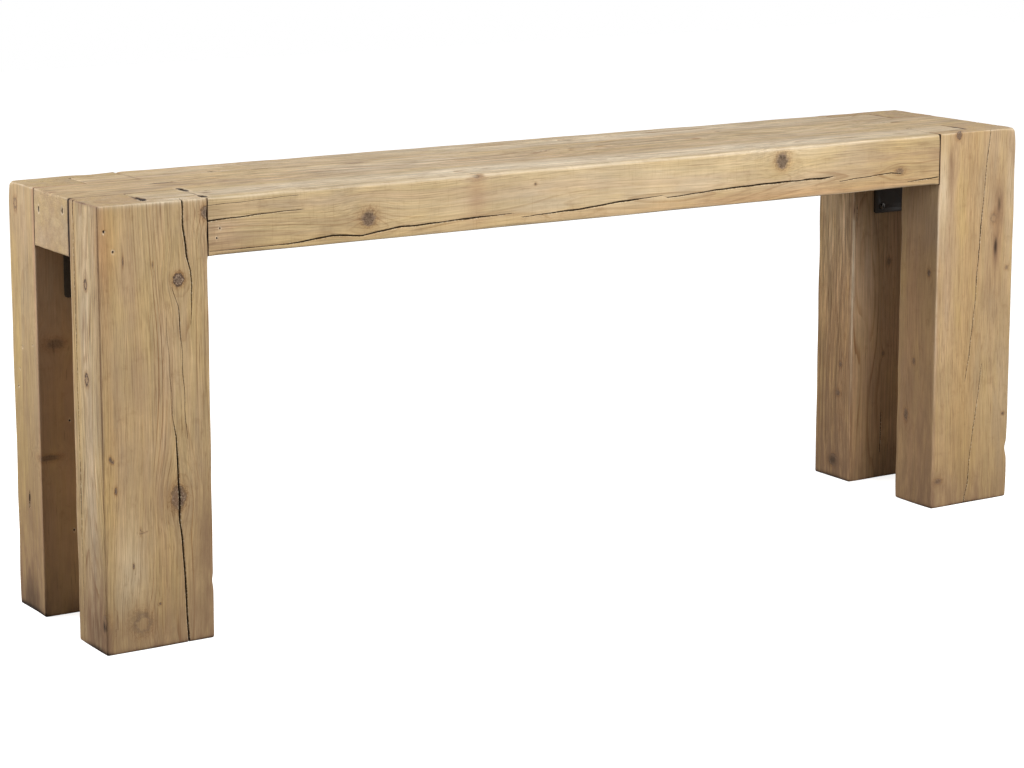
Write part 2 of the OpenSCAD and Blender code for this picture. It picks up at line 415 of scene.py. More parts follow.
def timber(node, grain, pith, seed, step, cuts=(), checks=(), knots=(), pits=(), worn=(), darker_spots=(),
           tones_and_painted_light=(), grains=(), ring=3.2, lean=(6, -4), wander=4.0, arris=4.0, wavy=0.5):
    """One sawn timber with its growth and its worn places, in mm from the table's corner. A point is drawn
    towards the core, which is the block less the arris radius, until it is one radius away, and then sinks
    by the uneven planing, the V of a check and the pits. Darker spots, tones (warm, golden, pale) and
    grains are bell curves round a spot; some warm tones paint shade on faces under the table, and some pale
    tones paint light on tops and shaded faces and highlights along arrises. A knot of negative strength is
    hollow, with only its rim dark."""
    low, high = box_mm(node)
    cuts = [(np.array(a, float), np.array(b, float)) for a, b in cuts]
    cracks = place_checks(checks)
    lines = point_rows(low, high, step, grain, cuts, cracks, pits, knots)
    place, faces, lows, highs = cut_block(low, high, lines, cuts)
    groove, rift = open_checks(place, low, high, grain, cracks, seed)
    pressed = place * np.where(np.arange(3) == grain, 0.12, 1)
    fibre, years, knot_value = grow(place, pressed, low, high, grain, pith, lean, wander, ring, knots, seed)

    sharpest, darkening = joint_wear(place)
    radius = np.minimum(arris * (1 + 0.4 * waves(place, 120, seed + 1)), sharpest)
    for centre, extra, spread_mm in worn:
        radius += extra * bell(place, centre, spread_mm)
    radius = np.clip(radius, 0.4, 17)[:, None]
    core = np.clip(place, lows + radius, highs - radius)
    outward = place - core
    reach = np.linalg.norm(outward, axis=1, keepdims=True)
    outward = outward / np.maximum(reach, 1e-6)
    shaped = core + outward * np.minimum(reach, radius)

    sunk = wavy * (0.5 + 0.5 * np.clip(waves(pressed, 46, seed + 2), -1, 1))
    if grain == 2:
        sunk *= np.where(outward[:, 2] < -0.7, 0, 1)
    pit = np.zeros(len(place))
    for point, size in pits:
        away = np.linalg.norm((place - point) / size, axis=1)
        pit = np.maximum(pit, np.exp(-away ** 2 / 1.6))
    sunk = sunk + groove + 2.2 * rise(pit, 0.55, 0.9)
    shaped = shaped - outward * sunk[:, None]

    # Darker spots: joints, marks by the knots, and places made darker towards the bottom of the legs and
    # along some arrises.
    for centre, spread_mm, strength in darker_spots:
        darkening += strength * bell(place, centre, spread_mm)
    # Tones: warm, golden and pale. Some warm tones are painted shade and some pale tones painted light or
    # highlights.
    shade = np.zeros((len(place), 3))
    for centre, spread_mm, *amounts in tones_and_painted_light:
        shade += np.outer(bell(place, centre, spread_mm), amounts)
    grainy = np.ones(len(place))
    for centre, spread_mm, extra in grains:
        grainy += extra * bell(place, centre, spread_mm)
    # How far round an arris a point lies; the material makes arrises paler with it, worn by rubbing and
    # with a painted highlight.
    corner = np.clip((1 - np.abs(outward).max(1)) / 0.29, 0, 1)
    wear_and_painted_highlight = np.column_stack([darkening, corner, pit])
    return make_piece(node + "_timber", shaped, faces,
                      dict(fibre=fibre, years=years, knot=knot_value, rift=rift, wear_and_painted_highlight=wear_and_painted_highlight, shade=shade,
                           grainy=grainy))


def old_pine(name, seed, tint=(1.0, 1.0, 1.0), rings=1.0, streaks=1.0, sawn=0.0, rub=0.65):
    """Old oiled pine: honey and greyed rose bands with golden and ashen patches, year rings with a thin
    dark late edge, streaks, hair lines and pores along the fibre, cracked brown knots, of which some are
    dull or hollow, darker spots, dirt in the joints, checks filled dark with dirt and painted shade and
    with a pale painted highlight on their lips, arrises paler where worn by rubbing and where a highlight
    is painted, and warm and pale tones that also paint shade and light."""
    pine = Finish(name)
    fibre, knot, rift, wear_and_painted_highlight, shade = (pine.step("Attribute", {}, "Vector", attribute_name=value)
                                      for value in ("fibre", "knot", "rift", "wear_and_painted_highlight", "shade"))
    years = pine.step("Attribute", {}, "Fac", attribute_name="years")
    grainy = pine.times(pine.step("Attribute", {}, "Fac", attribute_name="grainy"), 0.5)
    place = pine.step("TexCoord", {}, "Object")

    def part(vector, which):
        return pine.step("SeparateXYZ", {0: vector}, which)

    def tinted(*colour):
        return (*np.multiply(colour, tint), 1)

    broad = pine.cloud(fibre, (0.026, 0.026, 0.0013), seed, 3.0, 0.55)
    honey, rose = tinted(0.556, 0.408, 0.216), tinted(0.515, 0.362, 0.206)
    golden, ashen = tinted(0.59, 0.422, 0.192), tinted(0.486, 0.362, 0.228)
    colour = pine.mix(pine.ease(broad, 0.38, 0.64), honey, rose)
    patch = pine.cloud(fibre, (0.024, 0.024, 0.0055), seed + 11, 3.0, 0.6)
    colour = pine.mix(pine.ease(patch, 0.5, 0.7, 0, 0.5), colour, golden)
    colour = pine.mix(pine.ease(patch, 0.5, 0.32, 0, 0.6), colour, ashen)
    uneven = pine.ease(patch, 0.3, 0.7, 1.25, 0.75)
    # The three tones of the shade attribute: warm, which also paints shade, redder and darker, on faces
    # under the table; golden, the wood's own tone; and pale, which also paints light on tops and shaded
    # faces and highlights along arrises.
    for which, tone, blend in ((0, (0.93, 0.7, 0.63, 1), "MULTIPLY"),
                               (1, (1.06, 0.98, 0.68, 1), "MULTIPLY"),
                               (2, (0.76, 0.64, 0.465, 1), "MIX")):
        colour = pine.mix(pine.times(part(shade, which), uneven), colour, tone, blend)

    wobble = pine.cloud(fibre, (0.07, 0.07, 0.003), seed + 3, 2.0)
    age = pine.math("ADD", years, pine.times(wobble, 0.6))
    part_year = pine.math("FRACT", age)
    luck = pine.step("TexWhiteNoise", {"W": pine.math("FLOOR", age)}, "Value", noise_dimensions="1D")
    late = pine.times(pine.ease(part_year, 0.62, 0.94), pine.ease(part_year, 1.0, 0.96))
    late = pine.times(late, pine.ease(luck, 0.0, 1.0, 0.35, 1.0))
    patchy = pine.cloud(fibre, (0.04, 0.04, 0.0025), seed + 9, 2.0)
    late = pine.times(late, pine.ease(patchy, 0.38, 0.6, 0.6 * rings, 2 * rings))
    late = pine.times(late, grainy)
    colour = pine.mix(late, colour, (0.64, 0.53, 0.44, 1), "MULTIPLY")

    streak = pine.cloud(fibre, (0.085, 0.085, 0.0028), seed + 13, 5.0, 0.62)
    streak = pine.ease(streak, 0.27, 0.73, 1.0 + 0.14 * streaks, 1.0 - 0.15 * streaks)
    colour = pine.mix(grainy, colour, streak, "MULTIPLY")
    fine = pine.cloud(fibre, (0.36, 0.36, 0.003), seed + 1, 4.0, 0.66)
    fine_tone = pine.ease(fine, 0.25, 0.75, 1.0 + 0.34 * streaks, 1.0 - 0.39 * streaks)
    colour = pine.mix(grainy, colour, fine_tone, "MULTIPLY")
    hair = pine.cloud(fibre, (0.75, 0.75, 0.0075), seed + 15, 2.0, 0.6)
    hair = pine.times(pine.ease(hair, 0.56, 0.68, 0, 0.84), grainy)
    colour = pine.mix(hair, colour, (0.5, 0.39, 0.3, 1), "MULTIPLY")
    pores = pine.cloud(fibre, (0.42, 0.42, 0.02), seed + 2, 3.0, 0.65)
    dark_pores = pine.times(pine.ease(pores, 0.53, 0.66, 0, 0.68), grainy)
    colour = pine.mix(dark_pores, colour, (0.46, 0.36, 0.28, 1), "MULTIPLY")
    pale_pores = pine.times(pine.ease(pores, 0.44, 0.32, 0, 0.52), grainy)
    colour = pine.mix(pale_pores, colour, (1.45, 1.42, 1.4, 1), "MULTIPLY")
    fleck = pine.cloud(fibre, (0.3, 0.3, 0.013), seed + 5, 2.0, 0.5)
    colour = pine.mix(pine.ease(fleck, 0.67, 0.76, 0, 0.55), colour, (0.24, 0.15, 0.085, 1))
    blotch = pine.cloud(place, (11, 11, 11), seed, 5.0, 0.62)
    colour = pine.mix(1.0, colour, pine.ease(blotch, 0.25, 0.75, 1.09, 0.91), "MULTIPLY")
    smudge = pine.cloud(place, (34, 34, 34), seed + 6, 5.0, 0.68)
    smudge = pine.ease(smudge, 0.56, 0.72, 0, 0.34)
    colour = pine.mix(smudge, colour, (0.66, 0.58, 0.52, 1), "MULTIPLY")
    kerf = pine.cloud(fibre, (0.022, 0.022, 0.36), seed + 7, 1.0)
    kerf = pine.times(pine.ease(kerf, 0.55, 0.75), pine.ease(broad, 0.45, 0.6, sawn, 0.2 * sawn))
    colour = pine.mix(kerf, colour, (0.82, 0.77, 0.72, 1), "MULTIPLY")

    u, v, strength = part(knot, 0), part(knot, 1), part(knot, 2)
    hollow = pine.ease(strength, -0.1, -0.2)
    strength = pine.math("ABSOLUTE", strength)
    grit = pine.cloud(place, (260, 260, 260), seed, 3.0, 0.65)
    rough_edge = pine.cloud(knot, (2.2, 2.2, 0), seed, 3.0, 0.65)
    distance = pine.math("ADD", pine.times(u, u), pine.times(v, v))
    distance = pine.math("SQRT", distance)
    distance = pine.math("ADD", distance, pine.ease(rough_edge, 0.2, 0.8, -0.2, 0.2))
    halo = pine.times(pine.ease(distance, 2.3, 0.9), strength)
    colour = pine.mix(pine.times(halo, 0.5), colour, (0.72, 0.58, 0.46, 1), "MULTIPLY")
    rings_out = {"W": pine.times(distance, 6.5), "Scale": 1.0, "Detail": 2.0}
    ringed = pine.step("TexNoise", rings_out, noise_dimensions="1D")
    ringed = pine.math("ADD", pine.times(ringed, 0.45), pine.times(grit, 0.55))
    heartwood = pine.mix(pine.ease(ringed, 0.4, 0.6), (0.11, 0.066, 0.044, 1), (0.39, 0.275, 0.185, 1))
    core = pine.times(pine.ease(distance, 0.62, 0.15), pine.ease(grit, 0.4, 0.6, 0.0, 0.7))
    heartwood = pine.mix(core, heartwood, (0.11, 0.078, 0.058, 1))
    turn = pine.math("ARCTAN2", v, u)
    round_knot = {"W": pine.math("MULTIPLY_ADD", turn, 1.9, seed * 3.1), "Scale": 1.0, "Detail": 2.0}
    split = pine.step("TexNoise", round_knot, noise_dimensions="1D")
    split = pine.math("ABSOLUTE", pine.math("SUBTRACT", split, 0.5))
    split = pine.times(pine.ease(split, 0.035, 0.008), pine.ease(distance, 1.0, 0.5))
    heartwood = pine.mix(pine.times(split, 0.85), heartwood, (0.045, 0.028, 0.02, 1))
    rim = pine.ease(distance, pine.math("MULTIPLY_ADD", hollow, -0.2, 0.78), 0.94)
    rim = pine.times(rim, pine.ease(distance, 1.1, 0.98))
    rim = pine.times(rim, pine.ease(grit, 0.38, 0.55, 0.55, 1.0))
    rim = pine.times(rim, pine.math("MAXIMUM", hollow, pine.ease(strength, 0.6, 1.0, 0.25, 1.0)))
    heartwood = pine.mix(rim, heartwood, (0.06, 0.035, 0.022, 1))
    gnarled = pine.times(pine.ease(strength, 0.97, 0.93), pine.ease(distance, 0.6, 1.0, 0, 0.72))
    dull = pine.math("SUBTRACT", pine.ease(strength, 0.97, 0.93), gnarled)
    heartwood = pine.mix(dull, heartwood, (0.74, 0.74, 0.76, 1), "MULTIPLY")
    swirl = pine.times(pine.ease(ringed, 0.5, 0.56), pine.ease(distance, 1.7, 1.2))
    swirl = pine.times(pine.times(swirl, pine.ease(distance, 0.5, 0.7)), strength)
    colour = pine.mix(pine.times(swirl, 0.6), colour, (0.5, 0.39, 0.32, 1), "MULTIPLY")
    inside = pine.times(pine.ease(distance, 1.08, 0.92), strength)
    inside = pine.times(inside, pine.math("SUBTRACT", 1.0, gnarled))
    centre = pine.times(hollow, pine.ease(distance, 0.72, 0.4, 0, 0.85))
    inside = pine.times(inside, pine.math("SUBTRACT", 1.0, centre))
    colour = pine.mix(inside, colour, heartwood)

    # Darker spots and joints, near black above 0.7.
    darkening = pine.cloud(fibre, (0.07, 0.07, 0.013), seed + 17, 4.0, 0.62)
    darkening = pine.times(part(wear_and_painted_highlight, 0), pine.ease(darkening, 0.3, 0.68, 0.5, 1.45))
    colour = pine.mix(darkening, colour, (0.25, 0.15, 0.085, 1))
    colour = pine.mix(pine.ease(part(wear_and_painted_highlight, 0), 0.7, 1.15), colour, (0.034, 0.02, 0.012, 1))
    # Arrises paler: worn by rubbing, and a painted highlight along them.
    rubbed_and_highlight = pine.cloud(place, (26, 26, 26), seed + 2, 4.0, 0.6)
    rubbed_and_highlight = pine.times(part(wear_and_painted_highlight, 1), pine.ease(rubbed_and_highlight, 0.35, 0.65, 0.3 * rub, rub))
    rubbed_and_highlight = pine.times(rubbed_and_highlight, pine.ease(part(wear_and_painted_highlight, 0), 0.35, 0.05))
    colour = pine.mix(rubbed_and_highlight, colour, (0.77, 0.65, 0.47, 1))
    ragged = pine.cloud(place, (260, 260, 260), seed + 4, 3.0, 0.6)
    closeness = pine.math("DIVIDE", part(rift, 0), pine.math("MAXIMUM", part(rift, 1), 0.05))
    closeness = pine.times(closeness, pine.ease(ragged, 0.25, 0.75, 0.82, 1.22))
    # A pale painted highlight along the lips of the checks.
    lip_highlight = pine.math("SUBTRACT", part(rift, 0), part(rift, 1))
    lip_highlight = pine.times(pine.ease(lip_highlight, 1.5, 0.5), pine.ease(ragged, 0.5, 0.6, 0, 0.6))
    lip_highlight = pine.times(lip_highlight, pine.ease(part(rift, 1), 0.3, 0.8))
    colour = pine.mix(pine.times(lip_highlight, part(rift, 2)), colour, (0.72, 0.59, 0.4, 1))
    # The checks filled dark: dirt and painted shade in the crack.
    dirt = pine.times(pine.ease(closeness, 1.25, 0.7), part(rift, 2))
    colour = pine.mix(dirt, colour, (0.048, 0.027, 0.014, 1))
    halo = pine.times(pine.ease(part(wear_and_painted_highlight, 2), 0.1, 0.35), pine.ease(ragged, 0.42, 0.55, 0, 0.6))
    colour = pine.mix(halo, colour, (0.74, 0.6, 0.42, 1))
    colour = pine.mix(pine.ease(part(wear_and_painted_highlight, 2), 0.5, 0.7), colour, (0.045, 0.028, 0.018, 1))
    pine.give("Base Color", colour)

    gloss = pine.ease(pine.cloud(fibre, (0.12, 0.12, 0.01), seed, 3.0), 0.3, 0.7, 0.54, 0.7)
    pine.give("Roughness", gloss)
    height = pine.math("ADD", pine.times(fine, -0.6), pine.times(late, 0.35))
    open_split = pine.times(pine.times(inside, split), 1.5)
    height = pine.math("SUBTRACT", height, open_split)
    height = pine.math("SUBTRACT", height, pine.times(kerf, 0.4))
    pine.give("Specular IOR Level", 0.22)
    bump = pine.step("Bump", {"Strength": 0.5, "Distance": 0.0007, "Height": height})
    pine.give("Normal", bump)
    return pine.owner


def fit(piece, material, node):
    """Gives a finished piece its material, hangs it on the root body and hides the part it takes the place
    of.
    """
    piece.data.materials.append(material)
    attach(piece, "root")
    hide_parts(node)


front_beam = timber(
    "front_beam", grain=0, pith=(52, 688), seed=3, step=(5.3, 3.7, 3.2), ring=3.0, lean=(5, 6), arris=4.5,
    cuts=[((90, -9, 650), (200.6, 36.3, 770)), ((1799.4, -9, 650), (1910, 36.3, 770))],
    checks=[
        ("front", [(203, 662, 0.3), (333, 667, 0.7), (414, 673, 1.3), (437, 675, 1.5), (495, 670, 1.4),
                   (573, 679, 1.4), (601, 679, 1.1), (721, 683, 1.3), (802, 683, 0.5), (806, 682, 0),
                   (819, 676, 0), (825, 675, 0.6), (951, 680, 1.3), (1042, 687, 1.5), (1130, 690, 0.5),
                   (1132, 690, 0), (1137, 685, 0), (1139, 685, 0.6), (1285, 692, 1.4), (1402, 694, 1.6),
                   (1511, 694, 1.3), (1536, 696, 0.5), (1538, 695, 0), (1545, 686, 0), (1547, 685, 0.5),
                   (1676, 692, 1.0), (1704, 687, 0.5), (1708, 686, 0), (1716, 671, 0), (1719, 671, 0.5),
                   (1760, 673, 0.9), (1798, 675, 1.1)], 8),
        ("front", [(200, 720, 1.3), (290, 724, 0.9), (379, 726, 0.4), (384, 726, 0)], 6),
        ("front", [(200, 746, 0.35), (375, 751, 0.3), (378, 751, 0)], 2),
        ("under", [(300, 60, 0), (320, 60, 0.6), (700, 52, 1.4), (1100, 57, 0.8), (1500, 50, 1.2),
                   (1700, 52, 0)], 6),
    ],
    knots=[("front", 508, 698, 14, 16, 0.92), ("front", 1408, 733, 14, 16, 0.88),
           ("front", 851, 733, 2.2, 2.8, 0.7), ("front", 1698, 694, 7, 12, 0.7),
           ("front", 728, 759, 5, 10, 0.65), ("under", 930, 40, 14, 17, 0.9),
           ("top", 223, 52, 5, 9, 0.6)],
    pits=[((223, 0, 705), 2.4), ((217, 0, 690), 2.0), ((206, 102, 760), (7, 20, 6)),
          ((203, 20, 760), (6, 14, 6)), ((726, 12, 760), (13, 3.5, 4)), ((1012, 9, 760), (16, 3, 3)),
          ((236, 75, 760), (10, 3, 4)), ((1813, 108, 760), (11, 3.5, 4))],
    worn=[((102, 50, 760), 7, (8, 20, 10)), ((728, 0, 760), 4, (14, 14, 14)),
          ((1100, 0, 760), 5, (900, 9, 12))],
    darker_spots=[((728, 0, 720), (16, 20, 34), 0.3), ((738, 3, 757), (6, 7, 7), 0.7),
            ((205, 0, 690), (14, 20, 24), 0.25), ((104, 44, 756), (5, 12, 14), 1.7),
            ((103, 64, 760), (2.5, 16, 10), 1.1), ((150, 75, 760), (52, 40, 8), 0.1),
            ((225, 0, 678), (60, 20, 22), 0.4), ((470, 0, 684), (80, 20, 30), 0.26),
            ((1310, 0, 676), (90, 20, 13), 0.26), ((1690, 0, 690), (110, 20, 34), 0.22),
            ((1795, 0, 715), (30, 20, 44), 0.22), ((1800, 0, 710), (2, 10, 70), 0.8),
            ((1875, 37, 760), (18, 3, 5), 0.9), ((1898, 60, 760), (3.5, 24, 5), 0.9)],
    # The pale tones along the top and the top-front arris are painted light: a paler top and a painted
    # highlight on the arris.
    tones_and_painted_light=[((225, 0, 690), (34, 14, 34), 0.35, 0, 0.15), ((728, 0, 720), (22, 20, 50), 0.4, 0, 0),
            ((1020, 0, 715), (420, 30, 60), 0, 0, 0.24), ((1050, 56, 760), (1100, 46, 5), 0, 0, 1.0),
            ((1420, 0, 668), (300, 20, 12), 0.35, 0, 0), ((1000, 0, 672), (900, 12, 12), 0.15, 0.35, 0),
            ((1710, 0, 712), (120, 20, 60), 0.18, 0, 0), ((1430, 0, 752), (90, 20, 14), 0, 0, 0.25),
            ((1000, 0, 760), (1000, 4, 4), 0, 0, 0.25)],
    grains=[((1000, 60, 760), (1200, 70, 6), 1.0), ((330, 0, 745), (60, 20, 16), -0.3),
            ((1000, 0, 710), (480, 10, 90), -0.35)],
)
fit(front_beam, old_pine("pine_front_beam", 1.3, (0.99, 1.01, 1.02), rings=0.75, sawn=0.45,
                        rub=0.6), "front_beam")

# ---------------------------------------------------------------- middle beam
# The widest timber of the top, 146 by 100 mm. It runs the whole length between the legs, and its sawn
# ends show at both ends of the table. Beech dowels hold it to the beams on either side.
middle_beam = timber(
    "middle_beam", grain=0, pith=(196, 634), seed=11, step=(5.8, 4.6, 4.3), ring=3.6, lean=(14, 10),
    arris=4.0,
    checks=[
        ("top", [(60, 196, 0), (70, 196, 0.5), (260, 200, 0.6), (420, 196, 0)], 4),
        ("top", [(900, 180, 0), (920, 180, 0.6), (1240, 172, 0.9), (1500, 176, 0.4), (1510, 176, 0)], 4),
        ("under", [(100, 180, 0), (130, 180, 1.0), (620, 190, 1.3), (1000, 184, 0.5), (1020, 184, 0)], 6),
    ],
    knots=[("top", 620, 246, 6, 24, 0.6), ("under", 700, 170, 15, 19, 0.9),
           ("under", 1500, 210, 12, 16, 0.9)],
    pits=[((0, 240, 726), (9, 3.0, 6)), ((0, 140, 736), (9, 3.0, 6)), ((207, 118, 760), (6.5, 13, 6)),
          ((212, 201, 760), (26, 3.5, 5)), ((1003, 205, 760), (12, 3, 4)), ((1780, 231, 760), (16, 3, 4)),
          ((1826, 210, 760), (15, 3.5, 4)), ((2000, 150, 720), (9, 2.3, 4.2)),
          ((2000, 232, 712), (9, 2.3, 4.6))],
    darker_spots=[((0, 190, 710), (12, 90, 90), 0.38), ((0, 114, 710), (8, 5, 70), 1.3),
            ((625, 246, 760), (32, 9, 6), 0.3)],
    # The pale tones on the top are painted light, a paler top.
    tones_and_painted_light=[((650, 190, 760), (200, 90, 10), 0, 0, 0.6), ((1500, 190, 760), (600, 90, 10), 0, 0.2, 0.3),
            ((0, 190, 690), (8, 90, 50), 0, 0.15, 0.15)],
    grains=[((1000, 190, 760), (1300, 120, 10), 1.0), ((0, 190, 705), (8, 120, 50), -0.6)],
)
fit(middle_beam, old_pine("pine_middle_beam", 4.1, (1.02, 1.03, 1.06), rings=0.8, streaks=1.25),
    "middle_beam")

# ---------------------------------------------------------------- rear beam
# The same timber as the front beam, turned round: its tongues lie in the rear legs.
rear_beam = timber(
    "rear_beam", grain=0, pith=(330, 700), seed=23, step=(5.6, 4.0, 3.4), ring=3.2, lean=(-6, 9),
    arris=6.0,
    cuts=[((90, 338.7, 650), (200.6, 384, 770)), ((1799.4, 338.7, 650), (1910, 384, 770))],
    checks=[
        ("rear", [(260, 700, 0), (280, 701, 0.9), (620, 708, 1.8), (900, 704, 1.3), (1120, 709, 0.5),
                  (1125, 709, 0)], 8),
        ("rear", [(1150, 722, 0), (1160, 722, 0.8), (1480, 728, 1.7), (1798, 734, 1.4)], 7),
        ("top", [(338, 291, 0), (341, 290, 1.2), (366, 279, 0.9), (370, 278, 0)], 3),
        ("top", [(820, 330, 0), (840, 330, 0.5), (1180, 324, 0.8), (1420, 328, 0)], 4),
        ("under", [(400, 320, 0), (420, 320, 0.8), (900, 312, 1.2), (1300, 318, 0)], 6),
    ],
    knots=[("rear", 470, 722, 14, 17, 1.0), ("rear", 1020, 684, 10, 12, 0.9),
           ("rear", 1540, 700, 17, 20, 1.0), ("top", 1130, 318, 8, 12, 0.5),
           ("under", 1200, 300, 13, 16, 0.9)],
    pits=[((1770, 375, 712), 2.4), ((1764, 375, 694), 2.2), ((236, 375, 688), 2.2),
          ((357, 284, 760), (20, 4, 5))],
    worn=[((203, 375, 760), 6, (10, 12, 10))],
    # The pale tone on the top is painted light, a paler top.
    tones_and_painted_light=[((1200, 320, 760), (900, 60, 10), 0, 0.25, 0.8),
            ((900, 375, 715), (320, 20, 50), 0, 0, 0.25)],
    grains=[((1000, 320, 760), (1300, 90, 10), 0.8)],
)
fit(rear_beam, old_pine("pine_rear_beam", 7.7, (1.02, 1.02, 1.02), streaks=1.2, sawn=0.4), "rear_beam")

# ---------------------------------------------------------------- legs
# Four heavy posts, 200 by 114 mm, of the same old pine, standing on their own sawn ends. An open pocket
# is cut into the top of each, where the tongue of the front or rear beam lies flush.
leg_front_left = timber(
    "leg_front_left", grain=2, pith=(147, 62), seed=5, step=(3.5, 3.5, 3.4), ring=3.2, lean=(4, 3),
    arris=3.2,
    cuts=[((100, 36, 660), (210, 120, 770))],
    checks=[
        ("front", [(0, 151, 1.5), (144, 145, 1.4), (207, 139, 1.3), (238, 138, 2.1), (275, 138, 2.2),
                   (300, 138, 1.4), (360, 135, 1.0), (388, 130, 0.45), (480, 125, 0.25), (563, 121, 0.2),
                   (570, 121, 0)], 8),
        ("front", [(350, 156, 0), (357, 156, 0.35), (385, 153, 0.45), (519, 148, 0.55), (581, 144, 0.6),
                   (612, 133, 0.4), (616, 132, 0)], 6),
        ("front", [(540, 166, 0), (560, 167, 0.4), (612, 169, 0.8), (641, 167, 1.0), (664, 161, 1.3),
                   (716, 155, 1.3), (760, 154, 1.2)], 8),
        ("left", [(0, 90, 0.3), (60, 91, 0.5), (180, 92, 0.5), (260, 92, 1.1), (330, 93, 0.6),
                  (470, 94, 0.9), (600, 96, 0.7), (760, 97, 1.1)], 3),
        ("right", [(0, 60, 0.9), (180, 56, 1.2), (420, 62, 0.6), (520, 60, 0)], 7),
    ],
    knots=[("front", 626, 145, 10, 11, 1.0), ("front", 255, 138, 14, 20, 0.95),
           ("front", 47, 68, 12, 21, -0.62), ("left", 624, 51, 6, 9, -1.0),
           ("left", 463, 56, 7, 11, -1.0), ("left", 56, 7, 7, 16, -0.9),
           ("front", 735, 200, 10, 12, 0.95), ("right", 330, 70, 12, 16, 0.9),
           ("rear", 420, 120, 14, 18, 0.9), ("front", 665, 45, 0.9, 9, 0.7),
           ("front", 655, 98, 0.9, 5, 0.7), ("front", 148, 52, 1.0, 4.5, 0.95),
           ("front", 76, 99, 1.6, 2.2, 0.95), ("front", 336, 14, 1.1, 5, 0.9),
           ("front", 331, 19, 1.0, 4, 0.8), ("front", 281, 23, 1.1, 6, 0.95),
           ("front", 205, 66, 0.9, 6, 0.7), ("front", 203, 72, 2.6, 0.9, 0.6)],
    pits=[((12, 0, 718), (2.2, 9, 3.0)), ((28, 0, 683), 2.6), ((98, 32, 760), (6, 11, 6)),
          ((199, 20, 760), (5, 14, 6))],
    worn=[((200, 0, 731), 4, (12, 12, 10)), ((200, 0, 696), 2.5, (9, 9, 14)),
          ((200, 0, 100), 6, (10, 10, 9)), ((100, 50, 760), 7, (9, 20, 10)), ((0, 0, 60), 4, (9, 9, 40))],
    # Darker towards the bottom on the feet and the lower faces, and dark lines down the front-left arris
    # and along the top-left arris.
    darker_spots=[((0, 0, 500), (2.0, 2.0, 380), 0.75), ((12, 0, 690), (16, 20, 50), 0.15),
            ((100, 0, -12), (200, 200, 90), 0.5), ((100, 0, 0), (200, 200, 7), 0.5),
            ((0, 40, 70), (12, 70, 120), 0.6), ((0, 10, 50), (6, 2.2, 9), 0.55),
            ((0, 4, 48), (5, 2.0, 8), 0.4), ((192, 0, 170), (26, 20, 150), 0.6),
            ((112, 0, 262), (24, 12, 34), 0.24), ((134, 0, 255), (7, 10, 14), 0.62),
            ((0, 114, 710), (8, 5, 70), 1.3), ((0, 60, 760), (3.2, 60, 3.2), 0.85),
            ((97, 42, 756), (6, 12, 14), 1.8), ((98, 64, 760), (3.5, 16, 10), 1.2),
            ((150, 36, 760), (60, 1.6, 6), 0.8), ((45, 60, 760), (60, 70, 6), 0.16)],
    # The pale tones on the cheek's top and along the top-front arris are painted highlights.
    tones_and_painted_light=[((14, 0, 690), (20, 12, 80), 0.55, 0.35, 0), ((10, 0, 300), (16, 12, 330), 0, 0.55, 0),
            ((0, 92, 400), (12, 16, 420), 0, 0.45, 0), ((0, 50, 380), (12, 40, 420), 0, 0, 0.3),
            ((150, 18, 760), (34, 12, 6), 0, 0, 1.0), ((100, 0, 760), (120, 5, 5), 0, 0, 0.6),
            ((45, 0, 140), (34, 12, 95), 0, 0.3, 0.4), ((100, 0, 250), (70, 12, 260), 0.12, 0, 0),
            ((100, 0, 120), (90, 12, 150), 0, 0.3, 0)],
    grains=[((0, 60, 380), (10, 90, 900), 0.7), ((55, 0, 380), (45, 10, 600), -0.25),
            ((112, 0, 500), (22, 10, 260), 0.5)],
)
fit(leg_front_left, old_pine("pine_leg_front_left", 2.2, (0.93, 0.91, 0.89), rings=1.1), "leg_front_left")

